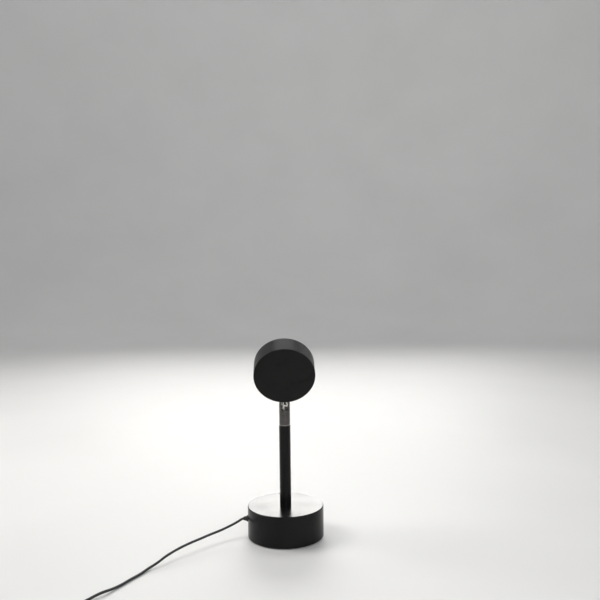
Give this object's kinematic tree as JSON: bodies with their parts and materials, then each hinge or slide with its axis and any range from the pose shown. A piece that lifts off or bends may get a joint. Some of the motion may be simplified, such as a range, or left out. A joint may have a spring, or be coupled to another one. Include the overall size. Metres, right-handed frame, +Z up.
{
  "type": "sunset projection lamp",
  "caption": "Small table lamp that projects a coloured disc: round weighted base, tube stem, swivelling forked neck, tilting drum head with a convex lens, and a USB lead with an in-line switch.",
  "frame": {"origin": "centre of the round base on the surface the lamp stands on", "axes": "+Z up along the stem; +Y is the way the head faces, so the picture is taken from the -Y side; the lead leaves the base towards -X"},
  "size_m": [0.2161, 0.2573, 0.2109],
  "materials": {
    "satin_black": "satin black powder coat with a fine grain",
    "head_black": "satin black powder coat over turned aluminium",
    "dark_metal": "gunmetal anodised, semi-gloss, fine turning marks",
    "zinc_steel": "zinc plated",
    "black_steel": "black oxide",
    "yellow_brass": "turned",
    "grey_iron": "bare casting",
    "plate_aluminium": "milled",
    "black_rubber": "matte",
    "lead_jacket": "soft black PVC, slight sheen",
    "black_plastic": "fine spark-eroded texture",
    "button_plastic": "smooth",
    "tie_plastic": "smooth",
    "white_nylon": "smooth",
    "pad_silicone": "soft",
    "board_white": "solder-mask white",
    "phosphor": "silicone over phosphor",
    "wire_white": "smooth off-white insulation",
    "clear_glass": "polished",
    "sunset_filter": "coated",
    "plug_metal": "nickel plated",
    "gold_contact": "gold flash"
  },
  "bodies": {
    "base": {"foot_pad": "black_rubber", "base_plate": "zinc_steel", "base_screws": "zinc_steel", "base_shell": "satin_black", "base_weight": "grey_iron", "cable_gland": "black_rubber", "cable_clamp": "black_steel", "clamp_screws": "zinc_steel", "stem_nipple": "yellow_brass", "stem_washer": "zinc_steel", "lock_washer": "zinc_steel", "stem_nut": "zinc_steel", "stem_tube": "satin_black", "top_bush": "dark_metal", "inner_lead": "lead_jacket", "cord_run": "lead_jacket", "switch_case_bottom": "black_plastic", "switch_case_top": "black_plastic", "switch_unit": "black_plastic", "switch_spring": "zinc_steel", "switch_screws": "zinc_steel", "switch_boots": "black_rubber", "cord_link": "lead_jacket", "cord_coil": "lead_jacket", "cord_tie": "tie_plastic", "cord_tail": "lead_jacket", "plug_grip": "black_plastic", "plug_shell": "plug_metal", "plug_tongue": "white_nylon", "plug_contacts": "gold_contact"},
    "neck": {"thrust_washer": "white_nylon", "neck_fork": "dark_metal", "wave_washer": "zinc_steel", "retaining_clip": "zinc_steel", "neck_lead": "lead_jacket", "pivot_screw": "black_steel", "friction_washers": "white_nylon", "hinge_wires": "wire_white"},
    "head": {"head_lug": "black_steel", "lug_screws": "black_steel", "head_shell": "head_black", "head_grommet": "black_rubber", "mounting_plate": "plate_aluminium", "plate_screws": "zinc_steel", "thermal_pad": "pad_silicone", "led_board": "board_white", "board_screws": "zinc_steel", "led_emitter": "phosphor", "led_leads": "wire_white", "light_tube": "black_plastic", "filter_disc": "sunset_filter", "filter_ring": "black_steel", "projection_lens": "clear_glass", "lens_gasket": "black_rubber", "lens_bezel": "head_black"},
    "button": {"switch_button": "button_plastic"}
  },
  "joints": [
    {"name": "neck_swivel", "type": "hinge", "parent": "base", "child": "neck", "pos_m": [0, 0, 0.118], "axis": [0, 0, 1], "range_deg": [-165, 165]},
    {"name": "head_tilt", "type": "hinge", "parent": "neck", "child": "head", "pos_m": [0, 0, 0.142], "axis": [0.9994, 0.0349, 0], "range_deg": [-113, 67], "deforming": ["hinge_wires"]},
    {"name": "button_press", "type": "slide", "parent": "base", "child": "button", "axis": [0, 0, -1], "range_m": [0, 0.0015], "stiffness_N_per_m": 400, "springref_m": -0.001, "deforming": ["switch_spring"]}
  ]
}
